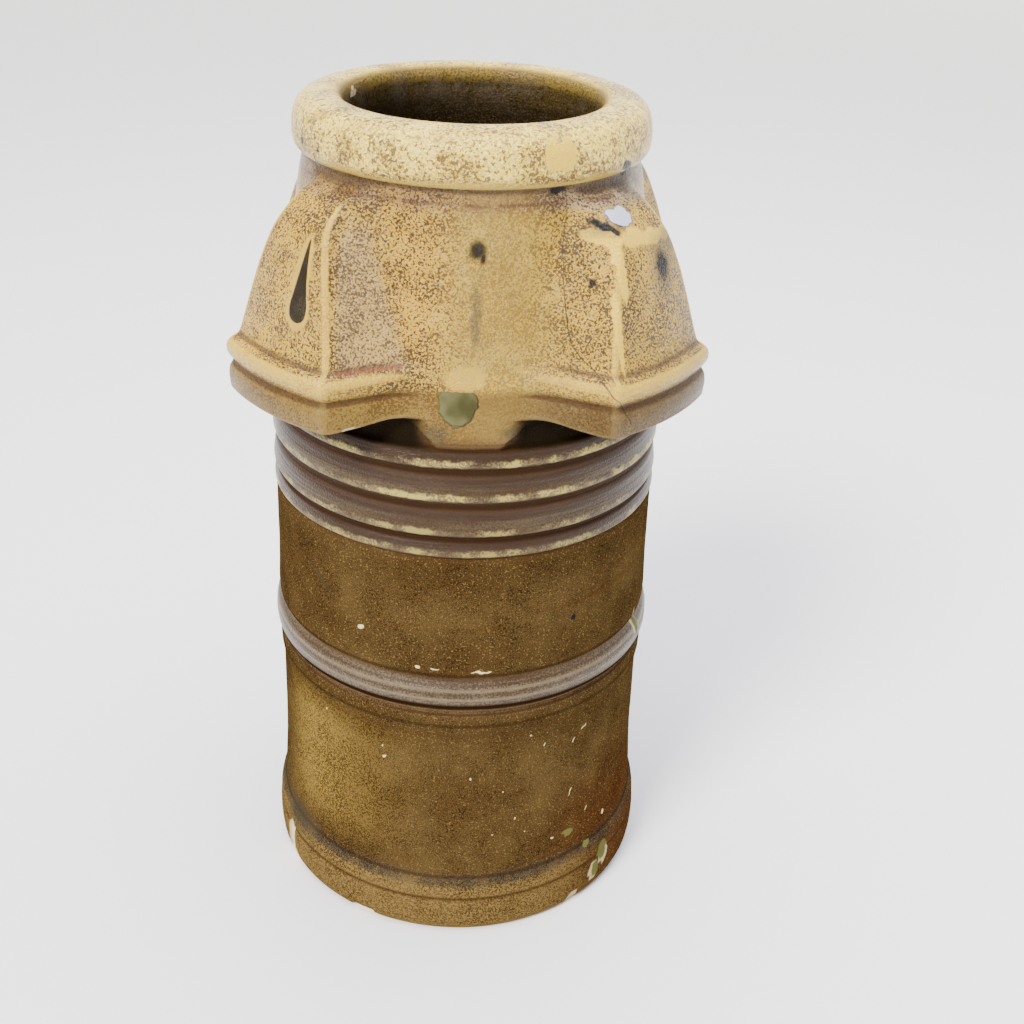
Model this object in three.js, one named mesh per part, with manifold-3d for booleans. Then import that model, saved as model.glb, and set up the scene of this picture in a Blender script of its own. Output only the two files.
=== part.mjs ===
// Hooded chimney pot in salt-glazed stoneware, thrown and fired in one piece.
// Origin at the middle of the foot, +Z up, millimetres.
import * as THREE from "three";
import { mergeVertices } from "three/addons/utils/BufferGeometryUtils.js";
import Module from "manifold-3d";

const wasm = await Module();
wasm.setup();

// Whole pot
const POT_HEIGHT = 758;
const TURNS = 48;

// Foot
const FOOT_SEAT_RADIUS = 178;
const FOOT_SWELL_RADIUS = 184;
const FOOT_SWELL_HEIGHT = 26;
const FOOT_BEAD_HEIGHT = 40;
const FOOT_GROOVE_HEIGHT = 66;
const FOOT_GROOVE_RADIUS = 178;

// Plain shaft and its belt, a large ring over a small one
const LOWER_SHAFT_RADIUS = 174.5;
const UPPER_SHAFT_RADIUS = 176;
const BELT_TOP_GROOVE_HEIGHT = 281;
const BELT_RADIUS = 180.5;
const BELT_GROOVE_HEIGHT = 247;
const BELT_GROOVE_RADIUS = 173.6;
const BELT_LOWER_HEIGHT = 237;
const BELT_LOWER_RADIUS = 177;
const BELT_FOOT_HEIGHT = 221;

// Collar, the lowest edge of the body between the hoods, set down from the rim
const COLLAR_DROP = 250;
const COLLAR_HEIGHT = POT_HEIGHT - COLLAR_DROP;
const COLLAR_RADIUS = 178;

// Four stepped rings under the hoods, counted from the top and set down from the collar
const RING_EDGE_DROPS = [18, 49, 81, 101];
const RING_GROOVE_DROPS = [5, 26, 58, 88];
const RING_EDGE_HEIGHTS = RING_EDGE_DROPS.map((drop) => COLLAR_HEIGHT - drop);
const RING_GROOVE_HEIGHTS = RING_GROOVE_DROPS.map((drop) => COLLAR_HEIGHT - drop);
const RING_EDGE_RADIUS = 177.2;
const RING_GROOVE_RADIUS = 174.4;
const RING_LIP = 4;

// Body between the hoods, and the neck
const BODY_MID_HEIGHT = COLLAR_HEIGHT + 87;
const BODY_MID_RADIUS = 162;
const BODY_TOP_HEIGHT = COLLAR_HEIGHT + 142;
const BODY_TOP_RADIUS = 153.5;
const NECK_LOW_HEIGHT = COLLAR_HEIGHT + 182;
const NECK_LOW_RADIUS = 148.5;
const NECK_TOP_HEIGHT = COLLAR_HEIGHT + 202;
const NECK_TOP_RADIUS = 144.5;

// Rolled rim with a nearly flat top
const RIM_RADIUS = 153.5;
const RIM_DEPTH = 45;
const RIM_UNDERSIDE_HEIGHT = POT_HEIGHT - RIM_DEPTH;
const RIM_SWELL_HEIGHT = RIM_UNDERSIDE_HEIGHT + 16;
const RIM_CREST_RADIUS = 136;
const MOUTH_RADIUS = 110;
const MOUTH_DROP = 8;
const MOUTH_HEIGHT = POT_HEIGHT - MOUTH_DROP;
const RIM_STEPS = 15;

// Flue, from the foot up
const FLUE_FOOT_RADIUS = 157;
const FLUE_SHAFT_RADIUS = 154;
const FLUE_SHOULDER_HEIGHT = COLLAR_HEIGHT + 57;
const FLUE_SHOULDER_RADIUS = 145;
const FLUE_NECK_HEIGHT = NECK_LOW_HEIGHT;
const FLUE_NECK_RADIUS = 126;
const THROAT_HEIGHT = POT_HEIGHT - 30;
const THROAT_RADIUS = 112;

// Hoods: four, set out by hand and so not quite square to one another, in degrees from the front
const HOOD_AZIMUTHS = [-47.75, 47.75, 129, -135.5];
const HOOD_LIP_HEIGHT = COLLAR_HEIGHT + 15;
const HOOD_SIDE_LIP_HEIGHT = COLLAR_HEIGHT + 21;
const HOOD_NECK_HEIGHT = COLLAR_HEIGHT + 41;
const HOOD_BEAD_HEIGHT = COLLAR_HEIGHT + 54;
const HOOD_LEDGE_HEIGHT = COLLAR_HEIGHT + 65;
const HOOD_SHOULDER_HEIGHT = COLLAR_HEIGHT + 163;
const HOOD_TOP_HEIGHT = COLLAR_HEIGHT + 196;
const HOOD_LIP_RADIUS = 222.5;
const HOOD_SKIRT_RADIUS = 224;
const HOOD_NECK_RADIUS = 220.5;
const HOOD_BEAD_RADIUS = 225.5;
const HOOD_LEDGE_RADIUS = 215;
const HOOD_SHOULDER_RADIUS = 187.5;
const HOOD_TOP_RADIUS = 145;
const HOOD_WALL = 15;
const HOOD_ARRIS_BEVEL = 5;

// Half width of a hood's face, and where its side meets the body, at four heights
const HOOD_LIP_WIDTHS = [64, 93];
const HOOD_BEAD_WIDTHS = [65, 91];
const HOOD_LEDGE_WIDTHS = [58.5, 82];
const HOOD_SHOULDER_WIDTHS = [32.5, 55];
const HOOD_TOP_WIDTHS = [25, 46];
const HOOD_FACE_BULGE = 1.9;
const HOOD_ROOF_BULGE = 9;

// Stations between two heights, with the radius bulging out from a straight line between them.
function between(low, high, [r0, r1], bulge, [w0, w1], steps) {
  const stations = [];
  for (let i = 0; i < steps; i++) {
    const t = i / steps;
    const mix = (a, b) => a + (b - a) * t;
    const radius = mix(r0, r1) + bulge * Math.sin(Math.PI * t);
    stations.push({ z: mix(low, high), radius, face: mix(w0[0], w1[0]), root: mix(w0[1], w1[1]) });
  }
  return stations;
}

// Hood surface at each height: outer radius, half width of the face, half width where it meets the body
const NECK_INSET = HOOD_BEAD_RADIUS - HOOD_NECK_RADIUS;
const BEAD_HALF = (HOOD_BEAD_HEIGHT - HOOD_NECK_HEIGHT) / 2;
const [BEAD_FACE, BEAD_ROOT] = HOOD_BEAD_WIDTHS;
const [LIP_FACE, LIP_ROOT] = HOOD_LIP_WIDTHS;
const HOOD_STATIONS = [
  { z: HOOD_LIP_HEIGHT, radius: HOOD_LIP_RADIUS, face: LIP_FACE, root: LIP_ROOT },
  { z: HOOD_NECK_HEIGHT - BEAD_HALF, radius: HOOD_SKIRT_RADIUS, face: LIP_FACE, root: LIP_ROOT - 1 },
  { z: HOOD_NECK_HEIGHT, radius: HOOD_NECK_RADIUS, face: BEAD_FACE - NECK_INSET * 0.6, root: BEAD_ROOT - 2 },
  { z: HOOD_NECK_HEIGHT + BEAD_HALF, radius: HOOD_SKIRT_RADIUS, face: BEAD_FACE - 0.5, root: BEAD_ROOT },
  { z: HOOD_BEAD_HEIGHT, radius: HOOD_BEAD_RADIUS, face: BEAD_FACE, root: BEAD_ROOT },
  { z: HOOD_BEAD_HEIGHT + BEAD_HALF, radius: HOOD_BEAD_RADIUS - 2.5, face: BEAD_FACE - 2, root: BEAD_ROOT - 3 },
  ...between(
    HOOD_LEDGE_HEIGHT, HOOD_SHOULDER_HEIGHT, [HOOD_LEDGE_RADIUS, HOOD_SHOULDER_RADIUS],
    HOOD_FACE_BULGE, [HOOD_LEDGE_WIDTHS, HOOD_SHOULDER_WIDTHS], 4,
  ),
  ...between(
    HOOD_SHOULDER_HEIGHT, HOOD_TOP_HEIGHT, [HOOD_SHOULDER_RADIUS, HOOD_TOP_RADIUS],
    HOOD_ROOF_BULGE, [HOOD_SHOULDER_WIDTHS, HOOD_TOP_WIDTHS], 3,
  ),
  { z: HOOD_TOP_HEIGHT, radius: HOOD_TOP_RADIUS, face: HOOD_TOP_WIDTHS[0], root: HOOD_TOP_WIDTHS[1] },
];
const HOOD_INNER_DISTANCE = 132;

// Hollow of each hood, and the vent behind it through the wall of the flue
const VENT_SILL_HEIGHT = COLLAR_HEIGHT + 33;
const VENT_RISES = [-3, 44, 89, 111, 123];
const VENT_HEIGHTS = VENT_RISES.map((rise) => VENT_SILL_HEIGHT + rise);
const VENT_HALF_WIDTHS = [46, 42, 34, 26, 15];
const VENT_INNER_DISTANCE = 95;
const HOLLOW_FACE_HALF_WIDTH = 50;
const HOLLOW_ROOT_HALF_WIDTH = 78;
const HOLLOW_RADIUS = 208;
const SIDE_LIP_HALF_WIDTH = 91;
const TONGUE_HALF_WIDTH = 104;
const CORE_RADIUS = 171;

const rad = THREE.MathUtils.degToRad;
const v2 = (x, y) => new THREE.Vector2(x, y);

// A manifold solid from a three.js geometry.
function solid(geometry) {
  geometry.deleteAttribute("normal");
  geometry.deleteAttribute("uv");
  const merged = mergeVertices(geometry, 1e-4);
  return new wasm.Manifold(
    new wasm.Mesh({
      numProp: 3,
      vertProperties: new Float32Array(merged.attributes.position.array),
      triVerts: new Uint32Array(merged.index.array),
    }),
  );
}

// A solid turned about +Z from a profile of (radius, height) that runs upwards.
function turned(profile) {
  const points = [v2(0, profile[0].y), ...profile, v2(0, profile[profile.length - 1].y)];
  return solid(new THREE.LatheGeometry(points, TURNS).rotateX(Math.PI / 2));
}

// Points on an ellipse about (cx, cy), from one angle to another in degrees.
function arc(cx, cy, rx, ry, from, to, steps) {
  const points = [];
  for (let i = 0; i <= steps; i++) {
    const a = rad(from + ((to - from) * i) / steps);
    points.push(v2(cx + rx * Math.cos(a), cy + ry * Math.sin(a)));
  }
  return points;
}

// A closed solid through plan outlines, each a list of [x, y, z] with the same number of points.
function loft(sections) {
  const count = sections[0].length;
  const positions = sections.flat(2);
  const index = [];
  for (let s = 0; s < sections.length - 1; s++) {
    for (let i = 0; i < count; i++) {
      const j = (i + 1) % count;
      const a = s * count + i;
      const b = s * count + j;
      index.push(a, b, b + count, a, b + count, a + count);
    }
  }
  const flat = sections[0].map(([x, y]) => v2(x, y));
  const top = (sections.length - 1) * count;
  const capTop = sections[sections.length - 1].map(([x, y]) => v2(x, y));
  for (const [a, b, c] of THREE.ShapeUtils.triangulateShape(flat, [])) index.push(c, b, a);
  for (const [a, b, c] of THREE.ShapeUtils.triangulateShape(capTop, [])) {
    index.push(top + a, top + b, top + c);
  }
  const geometry = new THREE.BufferGeometry();
  geometry.setAttribute("position", new THREE.Float32BufferAttribute(positions, 3));
  geometry.setIndex(index);
  return solid(geometry);
}

// Outside of the pot as a turned body, foot to rim, then back down to the mouth.
function potProfile() {
  const profile = [
    v2(FOOT_SEAT_RADIUS, 0),
    v2(FOOT_SWELL_RADIUS - 2.5, 8),
    v2(FOOT_SWELL_RADIUS, FOOT_SWELL_HEIGHT),
    v2(FOOT_SWELL_RADIUS - 0.6, FOOT_BEAD_HEIGHT),
    v2(FOOT_SWELL_RADIUS - 2.5, FOOT_BEAD_HEIGHT + 9),
    v2(FOOT_GROOVE_RADIUS + 1.5, FOOT_GROOVE_HEIGHT - 7),
    v2(FOOT_GROOVE_RADIUS, FOOT_GROOVE_HEIGHT),
    v2(LOWER_SHAFT_RADIUS, FOOT_GROOVE_HEIGHT + 50),
    v2(LOWER_SHAFT_RADIUS, BELT_FOOT_HEIGHT - 2),
    v2(BELT_LOWER_RADIUS - 1, BELT_FOOT_HEIGHT + 4),
    v2(BELT_LOWER_RADIUS, BELT_LOWER_HEIGHT + 3),
    v2(BELT_GROOVE_RADIUS, BELT_GROOVE_HEIGHT),
  ];
  const beltHalf = (BELT_TOP_GROOVE_HEIGHT - BELT_GROOVE_HEIGHT) / 2 - 1.5;
  const beltMiddle = (BELT_TOP_GROOVE_HEIGHT + BELT_GROOVE_HEIGHT) / 2;
  profile.push(...arc(UPPER_SHAFT_RADIUS, beltMiddle, BELT_RADIUS - UPPER_SHAFT_RADIUS, beltHalf, -75, 75, 4));
  profile.push(v2(UPPER_SHAFT_RADIUS, BELT_TOP_GROOVE_HEIGHT));
  profile.push(v2(UPPER_SHAFT_RADIUS + 1.2, BELT_TOP_GROOVE_HEIGHT + 12));
  profile.push(v2(UPPER_SHAFT_RADIUS, BELT_TOP_GROOVE_HEIGHT + 50));
  for (let i = RING_EDGE_HEIGHTS.length - 1; i >= 0; i--) {
    const edge = RING_EDGE_HEIGHTS[i];
    const under = i === RING_EDGE_HEIGHTS.length - 1 ? UPPER_SHAFT_RADIUS : RING_GROOVE_RADIUS;
    profile.push(v2(under, edge - RING_LIP));
    profile.push(v2(RING_EDGE_RADIUS, edge));
    profile.push(v2(RING_GROOVE_RADIUS, RING_GROOVE_HEIGHTS[i] - (i === 0 ? 0 : 1)));
  }
  profile.push(v2(COLLAR_RADIUS - 1.5, COLLAR_HEIGHT));
  profile.push(v2(COLLAR_RADIUS, COLLAR_HEIGHT + 6));
  profile.push(v2((COLLAR_RADIUS + BODY_MID_RADIUS) / 2 - 0.5, (COLLAR_HEIGHT + BODY_MID_HEIGHT) / 2));
  profile.push(v2(BODY_MID_RADIUS, BODY_MID_HEIGHT));
  profile.push(v2(BODY_TOP_RADIUS, BODY_TOP_HEIGHT));
  profile.push(v2(NECK_LOW_RADIUS, NECK_LOW_HEIGHT));
  profile.push(v2(NECK_TOP_RADIUS, NECK_TOP_HEIGHT));
  profile.push(...rimSection());
  return profile;
}

// Section of the rim from its underside, round the outside and over the top to the mouth.
function rimSection() {
  const curve = new THREE.SplineCurve([
    v2(RIM_RADIUS - 7, RIM_UNDERSIDE_HEIGHT),
    v2(RIM_RADIUS - 1, RIM_UNDERSIDE_HEIGHT + 7),
    v2(RIM_RADIUS, RIM_SWELL_HEIGHT),
    v2(RIM_RADIUS - 2, RIM_SWELL_HEIGHT + 12),
    v2(RIM_RADIUS - 8, POT_HEIGHT - 6.5),
    v2(RIM_CREST_RADIUS, POT_HEIGHT - 0.8),
    v2((RIM_CREST_RADIUS + MOUTH_RADIUS) / 2, POT_HEIGHT),
    v2(MOUTH_RADIUS + 3, POT_HEIGHT - 2),
    v2(MOUTH_RADIUS, MOUTH_HEIGHT),
  ]);
  return curve.getPoints(RIM_STEPS);
}

// Flue cutter, from below the foot to above the mouth.
function flueProfile() {
  return [
    v2(FLUE_FOOT_RADIUS, -10),
    v2(FLUE_FOOT_RADIUS, 6),
    v2(FLUE_SHAFT_RADIUS, 40),
    v2(FLUE_SHAFT_RADIUS, COLLAR_HEIGHT - 20),
    v2(FLUE_SHOULDER_RADIUS, FLUE_SHOULDER_HEIGHT),
    v2(FLUE_NECK_RADIUS, FLUE_NECK_HEIGHT),
    v2(THROAT_RADIUS, THROAT_HEIGHT),
    v2(MOUTH_RADIUS, MOUTH_HEIGHT),
    v2(MOUTH_RADIUS, POT_HEIGHT + 10),
  ];
}

// Plan of a hood at one station, in its own frame: X across, Y outwards from the pot's axis.
function hoodPlan({ z, radius, face, root }, inner) {
  const face_y = (x) => Math.sqrt(radius * radius - x * x);
  const bevel = Math.min(HOOD_ARRIS_BEVEL, face / 3);
  const right = [];
  for (const x of [0, face * 0.34, face * 0.68, face - bevel]) right.push([x, face_y(x), z]);
  right.push([face - bevel * 0.25, face_y(face) - 0.6, z]);
  right.push([face + bevel * 0.45, face_y(face) - bevel * 0.95, z]);
  right.push([(face + root) / 2 - 0.8, (face_y(face) + inner) / 2, z]);
  right.push([root, inner, z]);
  const left = right.slice(1).map(([x, y]) => [-x, y, z]);
  return [...right.reverse(), ...left];
}

// One hood, open underneath once the recess is cut.
function hoodSolid() {
  return loft(HOOD_STATIONS.map((station) => hoodPlan(station, HOOD_INNER_DISTANCE)));
}

// Value of a hood dimension at any height.
function hoodAt(key, z) {
  const i = HOOD_STATIONS.findIndex((s) => s.z >= z);
  const a = HOOD_STATIONS[Math.max(i - 1, 0)];
  const b = HOOD_STATIONS[i];
  return a === b ? a[key] : THREE.MathUtils.mapLinear(z, a.z, b.z, a[key], b[key]);
}

// Vent opening that runs from the flue to the inside of the hood's face.
function ventSolid() {
  const sections = VENT_HEIGHTS.map((z, i) => {
    const w = VENT_HALF_WIDTHS[i];
    const out = Math.min(hoodAt("radius", z) - HOOD_WALL, HOLLOW_RADIUS);
    const y = (x) => Math.sqrt(out * out - x * x);
    return [
      [w, VENT_INNER_DISTANCE, z],
      [w, y(w), z],
      [w / 2, y(w / 2), z],
      [-w / 2, y(w / 2), z],
      [-w, y(w), z],
      [-w, VENT_INNER_DISTANCE, z],
    ];
  });
  return loft(sections);
}

// Space under the hood, outside the shaft: the hollow itself, and the lip that rises along each side
// and drops again to the tongue of the collar.
function undersideSolid(core) {
  const low = COLLAR_HEIGHT - 4;
  const y = (x) => Math.sqrt(HOLLOW_RADIUS * HOLLOW_RADIUS - x * x);
  const plan = (z) => [
    [HOLLOW_ROOT_HALF_WIDTH, HOOD_INNER_DISTANCE, z],
    [HOLLOW_FACE_HALF_WIDTH, y(HOLLOW_FACE_HALF_WIDTH), z],
    [HOLLOW_FACE_HALF_WIDTH / 2, y(HOLLOW_FACE_HALF_WIDTH / 2), z],
    [-HOLLOW_FACE_HALF_WIDTH / 2, y(HOLLOW_FACE_HALF_WIDTH / 2), z],
    [-HOLLOW_FACE_HALF_WIDTH, y(HOLLOW_FACE_HALF_WIDTH), z],
    [-HOLLOW_ROOT_HALF_WIDTH, HOOD_INNER_DISTANCE, z],
  ];
  let space = loft([plan(low), plan(VENT_SILL_HEIGHT)]);
  const lip = [
    [0, low],
    [TONGUE_HALF_WIDTH, low],
    [TONGUE_HALF_WIDTH, COLLAR_HEIGHT],
    [SIDE_LIP_HALF_WIDTH, HOOD_SIDE_LIP_HEIGHT],
    [HOLLOW_FACE_HALF_WIDTH + 13, HOOD_LIP_HEIGHT],
    [0, HOOD_LIP_HEIGHT],
  ];
  const near = lip.map(([x, z]) => [x, 100, z]);
  const far = lip.map(([x, z]) => [x, 240, z]);
  const side = loftAcross(near, far);
  space = space.add(side).add(side.mirror([1, 0, 0]));
  return space.subtract(core);
}

// A prism between two copies of an outline that stands upright.
function loftAcross(near, far) {
  const turn = (p) => [p[0], p[2], -p[1]];
  const body = loft([far.map(turn), near.map(turn)]);
  return body.rotate([90, 0, 0]);
}

const core = turned([v2(CORE_RADIUS, COLLAR_HEIGHT - 30), v2(CORE_RADIUS, VENT_SILL_HEIGHT + 8)]);
const hood = hoodSolid();
const vent = ventSolid();
const underside = undersideSolid(core);

let pot = turned(potProfile());
for (const azimuth of HOOD_AZIMUTHS) pot = pot.add(hood.rotate([0, 0, azimuth + 180]));
for (const azimuth of HOOD_AZIMUTHS) {
  pot = pot.subtract(underside.rotate([0, 0, azimuth + 180]));
  pot = pot.subtract(vent.rotate([0, 0, azimuth + 180]));
}
pot = pot.subtract(turned(flueProfile()));

// Mesh in world space for the finished solid.
function meshOf(name, body, material) {
  const data = body.getMesh();
  const positions = new Float32Array(data.numVert * 3);
  for (let i = 0; i < data.numVert; i++) {
    positions.set(data.vertProperties.subarray(i * data.numProp, i * data.numProp + 3), i * 3);
  }
  const geometry = new THREE.BufferGeometry();
  geometry.setAttribute("position", new THREE.BufferAttribute(positions, 3));
  geometry.setIndex(new THREE.BufferAttribute(data.triVerts, 1));
  geometry.computeVertexNormals();
  const mesh = new THREE.Mesh(geometry, material);
  mesh.name = name;
  return mesh;
}

const glaze = new THREE.MeshStandardMaterial({ color: 0x9a7c4b, roughness: 0.32, metalness: 0 });
const group = new THREE.Group();
group.add(meshOf("chimney_pot", pot, glaze));

export default group;
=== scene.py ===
"""Hooded chimney pot in salt-glazed stoneware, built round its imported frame. Metres, +Z up."""

import math

import bpy
import numpy as np
from bpy.props import FloatProperty, FloatVectorProperty, IntProperty, PointerProperty
from mathutils import Matrix, Vector, noise


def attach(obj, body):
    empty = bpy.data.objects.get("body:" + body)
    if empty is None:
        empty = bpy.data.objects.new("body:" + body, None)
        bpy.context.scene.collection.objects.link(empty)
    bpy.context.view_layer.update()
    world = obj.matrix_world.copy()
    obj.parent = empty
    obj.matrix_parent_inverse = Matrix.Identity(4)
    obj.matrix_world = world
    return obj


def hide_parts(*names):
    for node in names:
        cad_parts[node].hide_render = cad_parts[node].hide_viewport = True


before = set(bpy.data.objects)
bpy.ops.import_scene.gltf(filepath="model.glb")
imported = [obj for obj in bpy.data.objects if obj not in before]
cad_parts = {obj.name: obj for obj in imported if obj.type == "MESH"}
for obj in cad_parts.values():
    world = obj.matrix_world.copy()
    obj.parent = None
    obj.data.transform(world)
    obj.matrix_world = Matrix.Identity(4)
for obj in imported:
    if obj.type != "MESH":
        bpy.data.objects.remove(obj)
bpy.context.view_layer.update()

bl_info = {
    "name": "Hooded Chimney Pot",
    "version": (1, 0, 0),
    "blender": (4, 5, 0),
    "location": "3D View > Sidebar > Chimney Pot",
    "description": "Builds a salt-glazed stoneware chimney pot with four hooded vents",
    "category": "Add Mesh",
}

MM = 0.001
FULL_HEIGHT = 757.4

# Outside of the thrown pot from the foot to the groove under the collar: height, radius in mm
SHAFT_PROFILE = [
    (0, 172), (0, 175.6), (1.2, 178.2), (4, 180.4), (9, 182.2), (16, 183.3), (24, 183.7), (31, 183.6),
    (36.5, 183.2), (38.2, 182.4), (39.6, 182.3), (41.5, 182.9), (46, 182.8), (51, 181.8), (55.5, 180.2),
    (59.5, 178.6), (62.5, 177.6), (65.5, 176.9), (67.6, 176.4), (70, 176.7), (76, 176.9), (84, 176.5),
    (94, 176), (106, 175.3), (118, 174.8), (132, 174.5), (146, 174.4), (160, 174.4), (174, 174.4),
    (188, 174.4), (200, 174.4), (210, 174.5), (216, 174.6), (219, 174.7), (221, 174.5), (222.4, 175.2),
    (225, 176.1), (229, 176.7), (234, 177.1), (238.5, 177), (242, 176), (244.6, 174.4), (246.6, 173.3),
    (248, 173.4), (249.4, 174.8), (251.5, 177), (254.6, 179), (259, 180.2), (264, 180.6), (268.5, 180.4),
    (272.5, 179.5), (275.6, 178), (277.8, 176.2), (279.4, 174.7), (281, 174.2), (282.6, 175.1),
    (285.5, 176.4), (290, 177.1), (296, 177.2), (304, 176.9), (314, 176.5), (326, 176.2), (338, 176),
    (350, 176), (362, 176), (374, 176), (384, 176), (392, 176), (398, 175.9), (401.2, 175.7),
]
# Each stepped ring: height of its edge, of the groove above it, and the edge's radius, in mm
RINGS = [(407, 420, 177.3), (427, 450, 177.7), (459, 482, 177.7), (490, 503, 177.2)]
RING_SHAPE = [(-3.6, -3.4), (-2.6, -2.5), (-1.4, -0.9), (-0.2, -0.1), (1.2, 0), (3, -0.3)]
GROOVE_RADIUS = 173.9
COVE_RADIUS = 174.2

# Body between the hoods, and neck: height, radius in mm
BODY_PROFILE = [
    (503, 174.2), (504.4, 174.9), (506, 176.2), (508, 177.1), (511, 177.7), (515, 177.9), (524, 176.2),
    (536, 173.2), (551, 169.7), (572, 165.6), (595, 162), (622, 157.6), (650, 153.6), (672, 150.8),
    (690, 148.4), (702, 146), (709, 144.7), (713, 145),
]
RIM_PROFILE = [
    (712.2, 144.9), (712.6, 146.2), (713.2, 148), (714.6, 150), (717.2, 151.8), (720.8, 152.9),
    (725.5, 153.4), (731, 153.4), (736.5, 152.9), (741.5, 151.9), (746, 150.4), (749.8, 148.2),
    (752.8, 145.2), (754.8, 141.6), (756.2, 137), (757.1, 131), (757.4, 125), (757.1, 119.6),
    (755.8, 115.2), (753.6, 112.2), (750.4, 110.5), (746, 109.9),
]
FLUE_PROFILE = [
    (740, 110), (733, 110.6), (726, 111.6), (718, 114), (709, 117.6), (699, 121.6), (689, 125.4),
    (676, 129), (662, 131.6), (640, 134.8), (615, 138.4), (590, 141.4), (565, 144.4), (545, 147),
    (525, 149.8), (505, 152), (488, 153.6), (440, 154), (380, 154.2), (320, 154.2), (260, 154.2),
    (200, 154.4), (150, 154.6), (100, 155), (60, 155.4), (36, 156), (16, 157), (5, 157.8), (0, 160),
]

# Hood, by height in mm: outer radius, half width of its face, half width where it meets the body
HOOD_TABLE = [
    (523, 222.6, 64, 94), (536, 224, 64.5, 93), (543, 223.4, 64, 92), (546.5, 221.8, 62.8, 90.5),
    (549, 220.4, 62, 89), (551.2, 221.6, 63, 90), (555, 224, 64.5, 91), (559, 225.1, 65, 91.2),
    (562.5, 225.2, 65, 91), (566.5, 223.8, 63.8, 89.5), (569.5, 220.6, 61.8, 86.5), (571.6, 217.2, 59.8, 84),
    (573.4, 215.2, 58.7, 82.4), (577, 213.8, 57.8, 81), (590, 210.4, 54.9, 78), (605, 206.8, 51.5, 75),
    (620, 203, 48, 70.5), (635, 199.3, 44, 66), (648, 195.4, 40.2, 62.4), (657, 192.4, 37.5, 60),
    (664, 189.8, 35.2, 57.4), (670, 187.2, 32.8, 55.2), (675, 184.2, 31, 53.4), (680, 180.2, 29.6, 51.6),
    (686, 174.4, 28.2, 50), (693, 166.2, 27, 48), (699, 156, 26, 47), (704, 145, 25, 46), (713, 120, 24, 44),
]
# Depth of the line where a hood's sides meet the body, levels of its lip, and its hollow behind, in mm
SIDE_FOOT = 132.0
SKIRT_TOP = 549.0
LIP_HEIGHT = 523.0
SIDE_LIP_HEIGHT = 529.0
CORE_RADIUS = 171.2
HOLLOW_RADIUS = 207.6
HOLLOW_FACE = 50.0
HOLLOW_SIDE = 78.0
CEILING_HEIGHT = 541.0
# Radius that no side of a hood reaches
FAR_OUT = 400.0

# Stage: the floor's sweep as radius and rise in m, and each light's kind, place, width, power and tint
FLOOR_SWEEP = [(0.5, 0), (7, 0), (8, 0.05), (8.6, 0.25), (9, 0.7), (9.1, 1.4), (9.1, 3.2)]
FLOOR_SIDES = 64
LIGHTS = {
    "key_light": ("SUN", (-1.5, -1.9, 2.7), 0.36, 6.8, (1.0, 0.965, 0.91)),
    "top_light": ("AREA", (0.1, 0.2, 2.9), 3.0, 205, (0.90, 0.91, 1.0)),
    "fill_light": ("AREA", (2.4, -1.4, 1.8), 2.0, 16, (0.92, 0.95, 1.0)),
}
LIT_POINT = (0, 0, 0.4)
SKY = (0.92, 0.94, 1.0, 1)
SKY_STRENGTH = 0.42

# Camera: place in m, lens in mm, shift as shares of the frame, angles in radians
CAMERA_PLACE = (0, -1.20067, 1.01396)
CAMERA_LENS = 49.951
CAMERA_SHIFT = (0.00478, -0.10843)
CAMERA_TILT, CAMERA_PAN, CAMERA_ROLL = 0.42489, 0.031635, 0.036231
CAMERA_TURN = math.radians(-1.0)

# How far the edges of the marks are pushed about, in m
PUSH = 0.003

# Columns of the mesh in half a hood's share of the turn: face, arris, side, fillet, open body
COLUMN_PARTS = (10, 6, 9, 8, 13)


def props():
    return bpy.context.scene.chimney_pot


def length_property(name, description, default):
    return FloatProperty(name=name, description=description, default=default, min=0, unit="LENGTH")


def turn_property(name, description, degrees):
    return FloatProperty(name=name, description=description, default=math.radians(degrees), subtype="ANGLE")


def tone_property(name, description, default):
    return FloatVectorProperty(
        name=name, description=description, default=default, subtype="COLOR", min=0, max=1)


class ChimneyPotSizes(bpy.types.PropertyGroup):
    """Sizes and colours of the chimney pot"""

    height: length_property("Height", "Foot to the top of the rim", FULL_HEIGHT * MM)
    hood_front: turn_property("Front Hoods", "Turn of each front hood from the middle of the front", 47.75)
    hood_rear_right: turn_property("Rear Right Hood", "Turn of the rear right hood from the front", 129)
    hood_rear_left: turn_property("Rear Left Hood", "Turn of the rear left hood from the front", 135.5)
    vent_width: length_property("Vent Width", "Width of a vent at its sill", 0.084)
    vent_rise: length_property("Vent Rise", "Sill to crown of a vent", 0.118)
    wobble: length_property("Wobble", "How far the hand-thrown wall wanders from true", 0.0007)
    vent_count: IntProperty(name="Vents", description="How many hoods have a vent", default=4, min=1, max=4)
    glaze_light: tone_property("Light Glaze", "Cream of the thick glaze on the hoods", (0.47, 0.285, 0.016))
    glaze_dark: tone_property("Dark Speckle", "Iron brown of the speckle", (0.030, 0.011, 0.002))
    glaze_shaft: tone_property("Shaft Glaze", "Olive brown of the thin glaze", (0.074, 0.046, 0.016))
    bare_clay: tone_property("Bare Clay", "Buff of the broken clay in the chips", (0.46, 0.36, 0.2))
    floor_tone: tone_property("Floor", "Pale floor of the studio", (0.94, 0.94, 0.94))


def hood_turns():
    p = props()
    return [math.degrees(a) for a in (-p.hood_front, p.hood_front, p.hood_rear_right, -p.hood_rear_left)]


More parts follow.
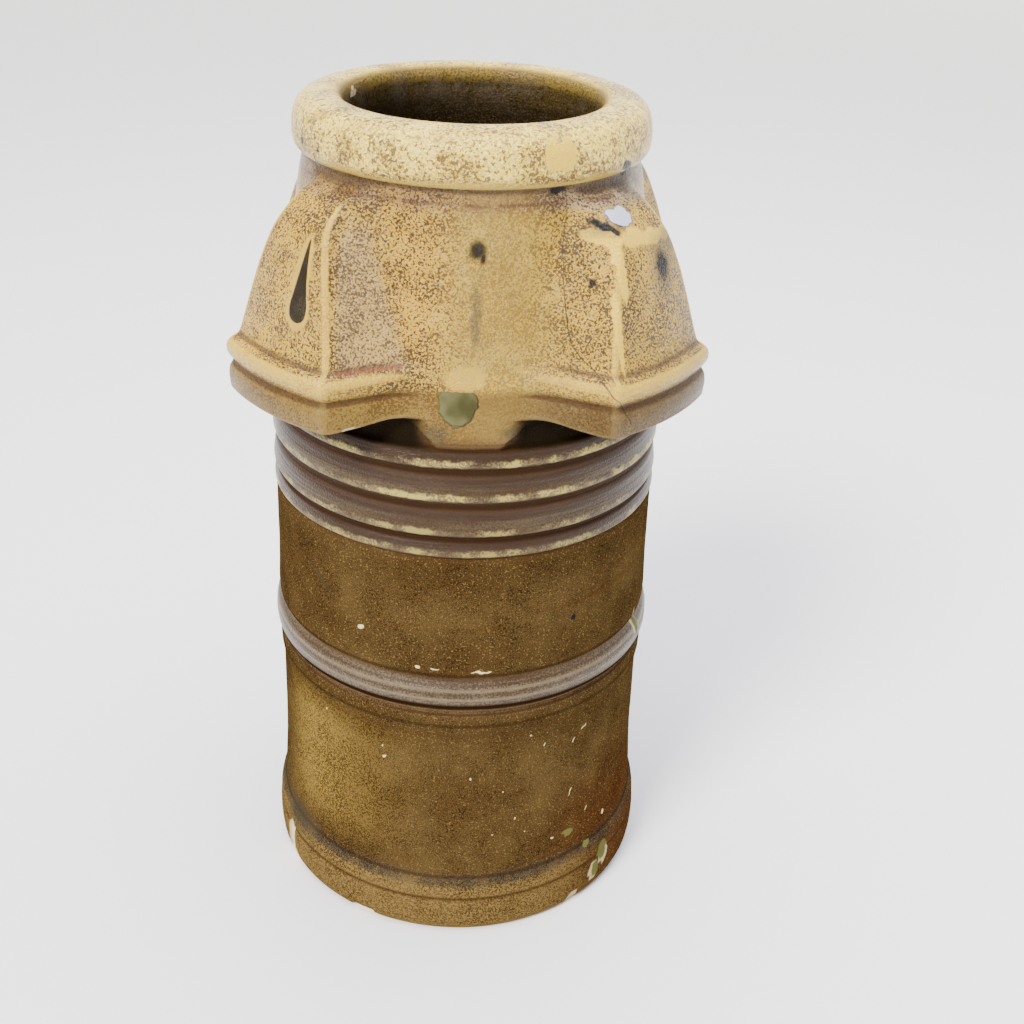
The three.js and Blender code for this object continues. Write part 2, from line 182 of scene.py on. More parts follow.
def outline(points, heights):
    """Radius at each height from a profile's points, on a smooth curve that doesn't overshoot."""
    z = np.array([p[0] for p in points], float)
    r = np.array([p[1] for p in points], float)
    slope = np.diff(r) / np.diff(z)
    tangent = np.zeros(len(z))
    for i in range(1, len(z) - 1):
        if slope[i - 1] * slope[i] > 0:
            tangent[i] = 2 * slope[i - 1] * slope[i] / (slope[i - 1] + slope[i])
    tangent[0], tangent[-1] = slope[0], slope[-1]
    i = np.clip(np.searchsorted(z, heights) - 1, 0, len(z) - 2)
    h = z[i + 1] - z[i]
    t = np.clip((heights - z[i]) / h, 0, 1)
    return (
        (2 * t**3 - 3 * t**2 + 1) * r[i]
        + (t**3 - 2 * t**2 + t) * h * tangent[i]
        + (-2 * t**3 + 3 * t**2) * r[i + 1]
        + (t**3 - t**2) * h * tangent[i + 1]
    )


def hood_values(heights):
    """Outer radius, half width of the face and half width at the body for a hood at each height."""
    return [outline([(row[0], row[k]) for row in HOOD_TABLE], heights) for k in (1, 2, 3)]


def soft_min(a, b, k):
    h = np.maximum(k - np.abs(a - b), 0) / k
    return np.minimum(a, b) - h * h * k / 4


def soft_max(a, b, k):
    return -soft_min(-a, -b, k)


def smooth(x):
    x = np.clip(x, 0, 1)
    return x * x * (3 - 2 * x)


def mesh_rows():
    """One list entry per row of the mesh: kind, height and radius between the hoods, place on its part."""
    rows = [("shaft", z, r, 0.0) for z, r in SHAFT_PROFILE]
    for i, (edge, groove, radius) in enumerate(RINGS):
        for dz, dr in RING_SHAPE:
            rows.append(("shaft", edge + dz, radius + dr, 0.0))
        span = groove - edge - 3
        for share, drop in ((0.35, 1.0), (0.65, 1.9), (0.88, 2.5)):
            rows.append(("shaft", edge + 3 + span * share, radius - drop, 0.0))
        if i < len(RINGS) - 1:
            rows.append(("shaft", groove + 0.3, GROOVE_RADIUS - 0.6, 0.0))
            rows.append(("shaft", groove + 1.6, COVE_RADIUS, 0.0))
            following = RINGS[i + 1][0]
            if following - groove > 9:
                rows.append(("shaft", (groove + following) / 2, COVE_RADIUS, 0.0))
    closed = [503, 504.2, 505.2, 506.4, 508, 510, 512.4, 515, 517, 519, 520.6, 522, 523.4, 524.6, 525.8, 527, 528, 529]
    radii = outline(BODY_PROFILE, np.array(closed, float))
    rows += [("recess", z, r, float(k)) for k, (z, r) in enumerate(zip(closed, radii))]
    skirt = [0.07, 0.16, 0.27, 0.4, 0.54, 0.68, 0.8, 0.9, 1.0]
    for t in skirt:
        z = SIDE_LIP_HEIGHT + t * (SKIRT_TOP - SIDE_LIP_HEIGHT)
        rows.append(("skirt", z, float(outline(BODY_PROFILE, np.array([z]))[0]), t))
    for z in (550.4, 552.2, 554.6, 557.4, 560.2, 562.8, 565.2, 567.4, 569.2, 570.8, 572.2, 573.6, 575.6, 579,
              584, 590, 596.5, 603, 609.5, 616, 622.5, 629, 635.5, 641.5, 647.5, 653, 658, 662.5, 666.5,
              670, 673, 676, 679, 682, 685, 688, 691, 694, 697, 700, 703, 706, 709, 711.4):
        rows.append(("hood", z, float(outline(BODY_PROFILE, np.array([z]))[0]), 0.0))
    rows += [("rim", z, r, 0.0) for z, r in RIM_PROFILE]
    rows += [("flue", z, r, 0.0) for z, r in FLUE_PROFILE]
    return rows


def field_tree(name, inputs, output_inputs=()):
    """An empty geometry tree with a geometry output and the named inputs."""
    tree = bpy.data.node_groups.new(name, "GeometryNodeTree")
    tree.interface.new_socket("Geometry", in_out="OUTPUT", socket_type="NodeSocketGeometry")
    tree.interface.new_socket("Geometry", in_out="INPUT", socket_type="NodeSocketGeometry")
    for label, kind, default in inputs:
        s = tree.interface.new_socket(label, in_out="INPUT", socket_type=kind)
        if default is not None:
            s.default_value = default
    return tree, tree.nodes.new("NodeGroupInput"), tree.nodes.new("NodeGroupOutput")


def set_input(modifier, label, value):
    for item in modifier.node_group.interface.items_tree:
        if item.item_type == "SOCKET" and item.in_out == "INPUT" and item.name == label:
            modifier[item.identifier] = value
            return
    raise ValueError(label)


def add_node(tree, kind, inputs=None, **settings):
    """A new node with its settings; each input is given a value, or a socket or Sum that feeds it."""
    node = tree.nodes.new(kind)
    for key, value in settings.items():
        setattr(node, key, value)
    for key, value in (inputs or {}).items():
        value = getattr(value, "socket", value)
        if isinstance(value, bpy.types.NodeSocket):
            tree.links.new(value, node.inputs[key])
        else:
            node.inputs[key].default_value = value
    return node


class Sum:
    """Arithmetic on the sockets of a node tree."""

    def __init__(self, tree, socket):
        self.tree, self.socket = tree, socket

    def op(self, kind, *others):
        node = add_node(self.tree, "ShaderNodeMath", dict(enumerate((self, *others))), operation=kind)
        return Sum(self.tree, node.outputs[0])

    def __add__(self, o):
        return self.op("ADD", o)

    def __sub__(self, o):
        return self.op("SUBTRACT", o)

    def __mul__(self, o):
        return self.op("MULTIPLY", o)

    def __truediv__(self, o):
        return self.op("DIVIDE", o)

    def ramp(self, low, high, out_low=0.0, out_high=1.0):
        """A smooth step from one value to another as this goes from low to high."""
        node = add_node(self.tree, "ShaderNodeMapRange", {
            "Value": self, "From Min": low, "From Max": high, "To Min": out_low, "To Max": out_high,
        }, interpolation_type="SMOOTHSTEP")
        return Sum(self.tree, node.outputs["Result"])

    def fall(self, low, high):
        return self.ramp(low, high, 1.0, 0.0)

    def fade(self, at_none, at_full):
        return self.ramp(0, 1, at_none, at_full)

    def band(self, start, full, last, end):
        return self.ramp(start, full) * self.fall(last, end)


def close_tree(tree, geometry, start, end):
    """Glazes what the tree has made and hands it out."""
    real = add_node(tree, "GeometryNodeRealizeInstances", {0: geometry})
    glazed = add_node(tree, "GeometryNodeSetMaterial", {
        "Geometry": real.outputs[0], "Material": start.outputs["Glaze"]})
    tree.links.new(glazed.outputs["Geometry"], end.inputs["Geometry"])


def thrown_tree():
    """Turns a profile of points in the XZ plane into a closed skin of rows and columns."""
    tree, start, end = field_tree("Thrown Wall", [
        ("Profile", "NodeSocketObject", None), ("Rows", "NodeSocketInt", 200),
        ("Columns", "NodeSocketInt", 368), ("Glaze", "NodeSocketMaterial", None)])
    rows, columns = Sum(tree, start.outputs["Rows"]), Sum(tree, start.outputs["Columns"])
    grid = add_node(tree, "GeometryNodeMeshGrid")
    for label, count in (("Vertices X", rows), ("Vertices Y", columns)):
        tree.links.new((count + 1.0).socket, grid.inputs[label])
    index = Sum(tree, add_node(tree, "GeometryNodeInputIndex").outputs[0])
    across = columns + 1.0
    row = ((index + 0.5) / across).op("FLOOR")
    column = (index - row * across).op("ROUND")
    row = (row - rows * (((row + 0.5) / rows).op("FLOOR"))).op("ROUND")
    info = add_node(tree, "GeometryNodeObjectInfo", {"Object": start.outputs["Profile"]})
    sample = add_node(tree, "GeometryNodeSampleIndex", {
        "Geometry": info.outputs["Geometry"], "Index": row}, data_type="FLOAT_VECTOR")
    position = add_node(tree, "GeometryNodeInputPosition")
    tree.links.new(position.outputs[0], sample.inputs["Value"])
    part = add_node(tree, "ShaderNodeSeparateXYZ", {0: sample.outputs["Value"]})
    radius, height = Sum(tree, part.outputs["X"]), Sum(tree, part.outputs["Z"])
    turn = column / columns * (2 * math.pi)
    place = add_node(tree, "ShaderNodeCombineXYZ", {
        "X": radius * turn.op("SINE"), "Y": radius * turn.op("COSINE") * -1.0, "Z": height})
    move = add_node(tree, "GeometryNodeSetPosition", {
        "Geometry": grid.outputs["Mesh"], "Position": place.outputs[0]})
    mesh = move.outputs["Geometry"]
    column = (column - columns * (((column + 0.5) / columns).op("FLOOR"))).op("ROUND")
    for label, value in (("row", row), ("column", column)):
        store = add_node(tree, "GeometryNodeStoreNamedAttribute", data_type="INT")
        store.inputs["Name"].default_value = label
        tree.links.new(mesh, store.inputs["Geometry"])
        tree.links.new(value.socket, store.inputs["Value"])
        mesh = store.outputs["Geometry"]
    merge = add_node(tree, "GeometryNodeMergeByDistance", {"Geometry": mesh, "Distance": 1e-6})
    close_tree(tree, merge.outputs["Geometry"], start, end)
    return tree


def vent_tree():
    """Cuts one vent behind each hood: a prism on points round the axis, taken out of the wall."""
    tree, start, end = field_tree("Hood Vents", [
        ("Cutter", "NodeSocketObject", None), ("Hoods", "NodeSocketObject", None),
        ("Glaze", "NodeSocketMaterial", None)])
    cutter = add_node(tree, "GeometryNodeObjectInfo", {"Object": start.outputs["Cutter"]})
    hoods = add_node(tree, "GeometryNodeObjectInfo", {"Object": start.outputs["Hoods"]})
    turn = add_node(tree, "GeometryNodeInputNamedAttribute", {"Name": "turn"}, data_type="FLOAT")
    spin = add_node(tree, "ShaderNodeCombineXYZ", {"Z": turn.outputs[0]})
    instances = add_node(tree, "GeometryNodeInstanceOnPoints", {
        "Points": hoods.outputs["Geometry"], "Instance": cutter.outputs["Geometry"], "Rotation": spin.outputs[0]})
    real = add_node(tree, "GeometryNodeRealizeInstances", {0: instances.outputs[0]})
    cut = add_node(tree, "GeometryNodeMeshBoolean", operation="DIFFERENCE", solver="MANIFOLD")
    tree.links.new(start.outputs["Geometry"], cut.inputs[0])
    tree.links.new(real.outputs[0], cut.inputs[1])
    close_tree(tree, cut.outputs[0], start, end)
    return tree


def helper_mesh(name, points, faces=(), edges=()):
    data = bpy.data.meshes.new(name)
    data.from_pydata([tuple(p) for p in points], list(edges), list(faces))
    data.update()
    helper = bpy.data.objects.new(name, data)
    bpy.context.scene.collection.objects.link(helper)
    return helper


def run_tree(holder, tree, values):
    """The plain mesh that a geometry tree makes on an object; the modifier is gone afterwards."""
    modifier = holder.modifiers.new(tree.name, "NODES")
    modifier.node_group = tree
    for label, value in values.items():
        set_input(modifier, label, value)
    bpy.context.view_layer.update()
    evaluated = holder.evaluated_get(bpy.context.evaluated_depsgraph_get())
    made = bpy.data.meshes.new_from_object(evaluated)
    holder.modifiers.clear()
    return made


def column_angles(face, root, reach, uniform):
    """Angle of each column of half a share of the turn, from the hood's middle out, for each row."""
    total = sum(COLUMN_PARTS)
    out = np.zeros((len(face), total + 1))
    band = np.radians(0.85)
    stops = np.stack([np.zeros_like(face), face - band, face + band, root - np.radians(3.4),
                      root + np.radians(3.0), np.full_like(face, reach)], axis=1)
    at = 0
    for k, count in enumerate(COLUMN_PARTS):
        for j in range(count):
            out[:, at] = stops[:, k] + (stops[:, k + 1] - stops[:, k]) * j / count
            at += 1
    out[:, total] = reach
    even = np.linspace(0, reach, total + 1)[None, :]
    return out * (1 - uniform[:, None]) + even * uniform[:, None]


def side_plane(half_face, face_depth, half_foot, angle):
    """Radius of a hood's flat side at an angle, from the edge of its face to where it meets the body."""
    nx, ny = SIDE_FOOT - face_depth, half_face - half_foot
    across = nx * np.sin(angle) + ny * np.cos(angle)
    radius = (nx * half_face + ny * face_depth) / np.where(np.abs(across) < 1e-6, -1e-6, across)
    return np.where((across >= 0) | (radius > FAR_OUT), FAR_OUT, radius)


def shaped_positions(rows, turns):
    """Heights and radii of every vertex, rows by columns, with the hoods and their hollows formed."""
    kind = np.array([r[0] for r in rows])
    height = np.array([r[1] for r in rows], float)
    radius = np.array([r[2] for r in rows], float)
    place = np.array([r[3] for r in rows], float)
    formed = (kind == "skirt") | (kind == "hood")
    body = radius.copy()
    body[formed] = outline(BODY_PROFILE, height[formed])
    steer = np.clip(height, 524, 690)
    steer[kind == "flue"] = 560
    steer[kind == "rim"] = 690
    hr, hf, hg = hood_values(steer)
    face = np.arcsin(hf / hr)
    yf = np.sqrt(hr * hr - hf * hf)
    # where the side face meets the body
    b = outline(BODY_PROFILE, np.clip(steer, 515, 712))
    dx, dy = hg - hf, SIDE_FOOT - yf
    qa, qb, qc = dx * dx + dy * dy, 2 * (hf * dx + yf * dy), hr * hr - b * b
    root_s = (-qb - np.sqrt(np.maximum(qb * qb - 4 * qa * qc, 0))) / (2 * qa)
    root = np.arctan2(hf + root_s * dx, yf + root_s * dy)
    uniform = np.where(kind == "shaft", smooth((500 - height) / 90), 0.0)
    uniform[kind == "rim"] = smooth((height[kind == "rim"] - 712) / 30)
    uniform[kind == "flue"] = 1.0
    order = np.argsort(turns)
    sorted_turns = [turns[i] for i in order]
    azimuth, local = [], []
    for i, turn in enumerate(sorted_turns):
        after = sorted_turns[(i + 1) % len(turns)] + (360 if i == len(turns) - 1 else 0)
        before = sorted_turns[i - 1] - (360 if i == 0 else 0)
        left = column_angles(face, root, math.radians((turn - before) / 2), uniform)
        right = column_angles(face, root, math.radians((after - turn) / 2), uniform)
        part = np.concatenate([-left[:, :0:-1], right[:, :-1]], axis=1)
        local.append(part)
        azimuth.append(part + math.radians(turn))
    azimuth = np.concatenate(azimuth, axis=1)
    a = np.abs(np.concatenate(local, axis=1))
    z = np.repeat(height[:, None], a.shape[1], axis=1)
    r = np.repeat(body[:, None], a.shape[1], axis=1)

    def hood_skin(zz, aa):
        """Radius of the skin at a height and an angle from a hood's middle."""
        hr, hf, hg = hood_values(zz)
        yf = np.sqrt(hr * hr - hf * hf)
        skin = soft_min(hr, side_plane(hf, yf, hg, aa), 4.0)
        bb = outline(BODY_PROFILE, zz)
        fillet = 16.0 - 9.0 * smooth((zz - 660) / 30)
        return np.where(zz < 712.5, soft_max(bb, skin, fillet), bb)

    def hollow_skin(aa):
        yh = math.sqrt(HOLLOW_RADIUS**2 - HOLLOW_FACE**2)
        side = side_plane(HOLLOW_FACE, yh, HOLLOW_SIDE, aa)
        return np.maximum(soft_min(HOLLOW_RADIUS, side, 6.0), CORE_RADIUS)

    face_edge, lip_end = np.radians(16.5), np.radians(29.0)
    lip = LIP_HEIGHT + (SIDE_LIP_HEIGHT - LIP_HEIGHT) * smooth((a - face_edge) / (lip_end - face_edge))
    hood_rows = kind == "hood"
    r[hood_rows] = hood_skin(z[hood_rows], a[hood_rows])
    skirt_rows = kind == "skirt"
    t = place[skirt_rows][:, None]
    z[skirt_rows] = lip[skirt_rows] + t * (SKIRT_TOP - lip[skirt_rows])
    r[skirt_rows] = hood_skin(z[skirt_rows], a[skirt_rows])
    # under the hood: floor of the recess, up the core, along the ceiling, down the hollow and out round the lip
    for i in np.flatnonzero(kind == "recess"):
        k = int(place[i])
        aa = a[i]
        inner = hollow_skin(aa)
        deep = smooth((inner - CORE_RADIUS) / 5)
        foot = lip[i]
        top = foot + (CEILING_HEIGHT - foot) * deep
        outer = hood_skin(foot + 3.0, aa)
        wall = np.minimum(4.0, (outer - inner) / 2)
        path = [
            (GROOVE_RADIUS, 503.0),
            (173.0, 503.5),
            (171.9, 504.1),
            (CORE_RADIUS, 505.4),
            (CORE_RADIUS, 512.0),
            (CORE_RADIUS, 512 + (foot - 512) * 0.55),
            (CORE_RADIUS, foot - 1.2),
            (CORE_RADIUS, foot + (top - foot) * 0.5),
            (CORE_RADIUS, top - 0.4),
            (CORE_RADIUS + (inner - CORE_RADIUS) * 0.12, top),
            (CORE_RADIUS + (inner - CORE_RADIUS) * 0.55, top),
            (inner, top - 1.5 * deep),
            (inner, foot + (top - foot) * 0.45),
            (inner + 0.3, foot + 1.5 * deep),
            (inner + wall * 0.5, foot),
            (outer - wall * 0.75, foot),
            (outer - wall * 0.22, foot + 0.8),
            (outer - 0.2, foot + 2.4 * (SKIRT_TOP - foot) / 26 * 0.6),
        ][k]
        bound = np.radians(31.2 + (527 - z[i]) / 17 * 6.0)
        open_share = smooth((bound - aa) / np.radians(2.4) + 0.5)
        if k == 0:
            open_share *= 0
        r[i] = r[i] * (1 - open_share) + path[0] * open_share
        z[i] = z[i] * (1 - open_share) + path[1] * open_share
    return azimuth, r, z, a, kind


# Broken places: turn in degrees, height, half width, half height, depth, all but the first in mm
CHIPS = [
    (-66.0, 18, 9, 22, 2.6), (-30, 1, 14, 5, 3.0), (51.5, 37, 8, 12, 2.0), (46.5, 24, 6, 11, 2.0),
    (65.5, 278, 5, 13, 1.6), (-67.5, 717, 5, 8, 2.4), (-56, 718, 3, 4, 1.6), (38, 5, 8, 6, 1.8),
    (118, 8, 12, 8, 2.6), (-150, 262, 8, 7, 2.0), (172, 16, 14, 9, 2.2), (-108, 746, 7, 5, 1.8),
    (-27.5, 524, 5, 4, 1.6),
]


def worked_surface(azimuth, r, z, kind, wobble):
    """The hand in the clay: slow wander, throwing ridges and the broken places, on the outer rows."""
    raw = np.zeros_like(r)
    outer = kind != "flue"
    rr = r.copy()
    amp = wobble / MM
    x, y = r * np.sin(azimuth), -r * np.cos(azimuth)
    flat = np.stack([x, y, z], axis=-1).reshape(-1, 3) * MM
    slow = np.array([noise.noise(Vector(p) * 9.0) for p in flat]).reshape(r.shape)
    quick = np.array([noise.noise(Vector((p[0] * 40, p[1] * 40, p[2] * 40 + 7))) for p in flat]).reshape(r.shape)
    rr -= amp * (0.5 + 0.5 * slow) + 0.22 * amp * (0.5 + 0.5 * quick)
    ridge = np.sin(z * 2 * math.pi / 11.0 + azimuth + 2.2 * slow)
    share = np.where(kind == "shaft", 0.16, 0.10)[:, None] * np.ones_like(r)
    share[kind == "flue"] = 0.9
    share[kind == "rim"] = 0.04
    rr -= share * (0.5 + 0.5 * ridge)
    for turn, height, half_w, half_h, depth in CHIPS:
        turn = math.radians(turn)
        across = (np.mod(azimuth - turn + math.pi, 2 * math.pi) - math.pi) * r
        far = np.sqrt((across / half_w) ** 2 + ((z - height) / half_h) ** 2)
        far = far + 0.22 * quick
        mask = np.where(outer[:, None], smooth((1.08 - far) / 0.2), 0)
        rr -= depth * mask * (0.75 + 0.5 * quick)
        raw = np.maximum(raw, mask)
    return rr, raw


def glaze_attributes(mesh, **fields):
    for label, values in fields.items():
        attribute = mesh.attributes.new(label, "FLOAT", "POINT")
        attribute.data.foreach_set("value", values.astype(np.float32))


class POT_OT_body(bpy.types.Operator):
    """Throw the pot, form its hoods and cut their vents"""

    bl_idname = "chimney_pot.body"
    bl_label = "Chimney Pot"

    def execute(self, context):
        p = props()
        glaze = salt_glaze()
        rows = mesh_rows()
        half = sum(COLUMN_PARTS)
        turns = hood_turns()
        columns = half * 2 * len(turns)
        profile = helper_mesh("wall_profile", [(r[2] * MM, 0, r[1] * MM) for r in rows])
        holder = helper_mesh("wall_holder", [(0, 0, 0)])
        mesh = run_tree(holder, thrown_tree(), {
            "Profile": profile, "Rows": len(rows), "Columns": columns, "Glaze": glaze})
        row, column = np.zeros(len(mesh.vertices), np.int32), np.zeros(len(mesh.vertices), np.int32)
        mesh.attributes["row"].data.foreach_get("value", row)
        mesh.attributes["column"].data.foreach_get("value", column)
        azimuth, r, z, local, kind = shaped_positions(rows, turns)
        clean = r.copy()
        r, raw = worked_surface(azimuth, r, z, kind, p.wobble)
        z = np.clip(z, 0, None)
        scale = p.height / MM / FULL_HEIGHT
        # how far each vertex stands out from its neighbours: edges are worn and pale, hollows get painted shade
        pos = np.stack([clean * np.sin(azimuth), -clean * np.cos(azimuth), z], axis=-1)
        wear, hollow = standing_out(pos)
        inside = np.repeat(np.where(kind == "flue", 1.0, 0.0)[:, None], r.shape[1], axis=1)
        side = side_faces(azimuth, local, z, kind)
        under = smooth((182 - r) / 6) * smooth((z - 502.5) / 1.5) * smooth((38 - np.degrees(local)) / 6)
        under *= (kind == "recess")[:, None]
        # the recess under each hood lip takes the flue's dark colour as painted shade
        inside = np.maximum(inside, under)
        inside = np.maximum(inside, (kind == "rim")[:, None] * smooth((118 - r) / 7) * 0.9)
        pos = np.stack([r * np.sin(azimuth), -r * np.cos(azimuth), z], axis=-1) * MM * scale
        mesh.vertices.foreach_set("co", pos[row, column].astype(np.float32).ravel())
        glaze_attributes(mesh, raw=raw[row, column], wear=wear[row, column], hollow=hollow[row, column],
                         inside=inside[row, column], side=side[row, column])
        mesh.update()
        wall = bpy.data.objects.new("wall", mesh)
        context.scene.collection.objects.link(wall)
        face_outwards(wall)
        cutter = vent_cutter(p.vent_width / MM, p.vent_rise / MM)
        points = helper_mesh("hood_points", [(0, 0, 0)] * p.vent_count)
        turn = points.data.attributes.new("turn", "FLOAT", "POINT")
        turn.data.foreach_set("value", [math.radians(t) for t in turns[:p.vent_count]])
        made = run_tree(wall, vent_tree(), {"Cutter": cutter, "Hoods": points, "Glaze": glaze})
        pot = bpy.data.objects.new("chimney_pot_glazed", made)
        context.scene.collection.objects.link(pot)
        for label in ("row", "column"):
            if label in made.attributes:
                made.attributes.remove(made.attributes[label])
        made.polygons.foreach_set("use_smooth", [True] * len(made.polygons))
        for helper in (wall, cutter, points, profile, holder):
            bpy.data.objects.remove(helper)
        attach(pot, "root")
        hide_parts("chimney_pot")
        return {"FINISHED"}


def side_faces(azimuth, local, z, kind):
    """Share of each vertex that lies on a right-hand side face of a hood, where a grey tint is laid on as painted sky
    reflection.
    """
    spread = np.radians(17 - 6.5 * np.clip((z - 560) / 130, 0, 1))
    share = smooth((local - spread) / 0.03) * smooth((spread + 0.27 - 0.0013 * (z - 570) - local) / 0.07)
    share *= smooth((z - 566) / 8) * smooth((690 - z) / 24)
    return share * (kind == "hood")[:, None] * (np.sin(2 * azimuth) * np.cos(azimuth) < 0)


def standing_out(pos):
    """Two shares for each vertex, from the bend of the surface up its rows and across its columns."""
    def bend(axis):
        before, after = np.roll(pos, 1, axis), np.roll(pos, -1, axis)
        d1, d2 = pos - before, after - pos
        l1 = np.linalg.norm(d1, axis=-1) + 1e-6
        l2 = np.linalg.norm(d2, axis=-1) + 1e-6
        change = d2 / l2[..., None] - d1 / l1[..., None]
        return change / ((l1 + l2) / 2)[..., None]

    along, across = np.roll(pos, -1, 0) - np.roll(pos, 1, 0), np.roll(pos, -1, 1) - np.roll(pos, 1, 1)
    normal = np.cross(across, along)
    normal /= np.linalg.norm(normal, axis=-1)[..., None] + 1e-9
    rows, columns = -(bend(0) * normal).sum(-1), -(bend(1) * normal).sum(-1) - 0.0056
    shares = []
    for share in (np.maximum(rows, columns), -np.minimum(rows, columns)):
        for _ in range(2):
            share = (share * 2 + sum(np.roll(share, step, axis) for axis in (0, 1) for step in (1, -1))) / 6
        shares.append(smooth(share / 0.12))
    return shares


def face_outwards(thing):
    """Turns every face outwards, judged by the enclosed volume of the closed skin."""
    mesh = thing.data
    co = np.zeros(len(mesh.vertices) * 3)
    mesh.vertices.foreach_get("co", co)
    co = co.reshape(-1, 3)
    mesh.calc_loop_triangles()
    tris = np.zeros(len(mesh.loop_triangles) * 3, np.int32)
    mesh.loop_triangles.foreach_get("vertices", tris)
    t = co[tris.reshape(-1, 3)]
    volume = np.einsum("ij,ij->i", t[:, 0], np.cross(t[:, 1], t[:, 2])).sum() / 6
    if volume < 0:
        mesh.flip_normals()
        mesh.update()


def vent_cutter(width, rise):
    """An arched prism from inside the flue to behind the hood's face, pointing to the front."""
    sill = CEILING_HEIGHT - 3
    steps = 8
    arch = [(-width / 2 - 3, sill), (width / 2 + 3, sill), (width / 2, sill + rise * 0.45)]
    for i in range(steps + 1):
        angle = math.pi * i / steps
        arch.append((width * 0.4 * math.cos(angle), sill + rise * 0.62 + rise * 0.38 * math.sin(angle)))
    arch.append((-width / 2, sill + rise * 0.45))
    count = len(arch)
    near = [(x * MM, -0.100, z * MM) for x, z in arch]
    far = [(x * MM, -(HOLLOW_RADIUS - 5 - max(0.0, z - 560) * 0.235) * MM, z * MM) for x, z in arch]
    faces = [tuple(range(count)), tuple(reversed(range(count, 2 * count)))]
    faces += [(i, i + count, (i + 1) % count + count, (i + 1) % count) for i in range(count)]
    cutter = helper_mesh("vent_cutter", near + far, faces)
    face_outwards(cutter)
    return cutter


# Marks on the glaze: turn in degrees, radius, height, half width, half height in mm, tilt in degrees
BALD_SPOTS = [
    (-42.3, 199, 638, 9, 38, 0), (-42.2, 204, 614, 13, 16, 0),
    (-1.4, 167, 563.5, 16, 9.5, 0), (118, 176, 300, 14, 9, 0),
    (-128, 204, 612, 9, 17, 8), (178, 160, 600, 13, 8, 10),
]
GOLD_SPOTS = [
    (36, 174, 675, 13, 5.5, 4), (43, 182, 674, 13, 7, 0), (50, 188, 671, 13, 6.5, 0), (56, 190, 670, 9, 5.5, 0),
    (36.9, 192, 652, 4, 24, 0), (34.2, 205, 606, 3, 34, 0), (23.6, 152, 739, 8, 12, 0), (28, 152, 738, 8, 12.5, 12),
]
DARK_DRIPS = [
    (26.6, 147, 710, 8, 2.6, 0), (37, 170, 682.5, 9.5, 2.7, 24), (54, 151, 720, 8, 4, 18),
]
BURNT_SPOTS = [
    (1.4, 151, 665.5, 7.5, 7.5, 0), (3.2, 151.4, 659, 3, 4.5, 0), (31.5, 178, 641.5, 2.4, 3.2, 0),
    (51.5, 198, 648, 8, 12, 0), (-64.5, 153, 728, 2.6, 3.4, 0), (-54, 153, 725, 2.4, 2, 0),
    (57, 146, 712, 7, 4, 25), (152, 158, 640, 5, 9, 0), (-98, 176, 470, 4, 7, 0), (33, 176, 330, 3, 3, 0),
]
SMEARS = [
    (52, 196, 648, 17, 24, 18), (56, 190, 662, 12, 13, 0), (54, 148, 702, 12, 9, 0), (39, 172, 684, 22, 5.5, -20),
    (-60, 180, 60, 30, 14, 0), (-46, 176, 352, 20, 2, 38), (1.2, 156, 612, 4, 24, 0), (-9, 171, 519, 11, 7, 0),
    (12, 176, 520, 12, 5, 0), (96, 190, 600, 16, 26, 0), (-160, 176, 120, 30, 16, 0),
]
GREEN_GLASS = [(-3.3, 172, 545, 15.5, 19, 0)]
BLUE_GLASS = [(42, 169.5, 687.5, 11.5, 5.5, 14), (44, 168, 689, 7, 5.5, 0)]
LICHEN = [
    (51, 182, 40, 8, 11, 0), (47.5, 182, 24, 4.5, 10, 0), (67, 179, 274, 4.5, 10, 0), (36, 176, 86, 6, 4, 0),
    (44, 183, 60, 5, 3, 0), (130, 183, 30, 9, 12, 0), (-118, 180, 262, 12, 5, 0), (162, 183, 20, 12, 6, 0),
]
WHITE_CHIPS = [
    (-64.5, 181, 24, 8, 21, 4), (-30.8, 176, 320.5, 2.88, 2.21, 0), (-13.2, 177, 293.6, 2.88, 1.87, 0),
    (-8, 177, 293, 4.4, 0.765, 4), (5, 177, 290.6, 9, 0.8, 0), (-23.3, 174.5, 188.4, 1.76, 1.53, 20),
    (-24, 174.5, 199, 0.8, 1.36, 0), (-45, 174.5, 212, 0.8, 1.02, 0), (3, 174.4, 173.3, 1.04, 0.935, 0),
    (13, 174.4, 156.3, 0.96, 0.85, 0), (17.2, 174.6, 123.5, 0.72, 1.87, 0), (20.3, 175, 105.5, 0.88, 0.85, 0),
    (29.6, 176, 88, 1.6, 0.935, 30), (36.4, 174.5, 131.8, 0.64, 3.4, 32), (43.6, 175.3, 102, 0.64, 3.06, 35),
    (40.5, 174.4, 201.7, 0.64, 3.91, 38), (37, 174.4, 192, 0.64, 2.72, 30), (25.9, 174.4, 200, 0.64, 2.21, 35),
    (52.7, 176, 80.6, 2.08, 2.89, 0), (10.2, 175, 109, 0.8, 0.68, 0), (21, 173.9, 214, 0.8, 0.765, 0),
    (-63, 184, 6, 9, 9, 0), (-140, 176, 340, 2.4, 2.04, 0), (105, 176, 180, 1.76, 1.7, 0),
    (-100, 175, 130, 1.6, 2.21, 0),
]


def value_noise(tree, place, scale, detail=2.0, rough=0.5, bend=0.0):
    node = add_node(tree, "ShaderNodeTexNoise", {
        "Scale": scale, "Detail": detail, "Roughness": rough, "Distortion": bend, "Vector": place})
    return Sum(tree, node.outputs["Fac"])


def stretched(tree, place, x, y, z):
    return add_node(tree, "ShaderNodeMapping", {"Scale": (x, y, z), "Vector": place}).outputs[0]


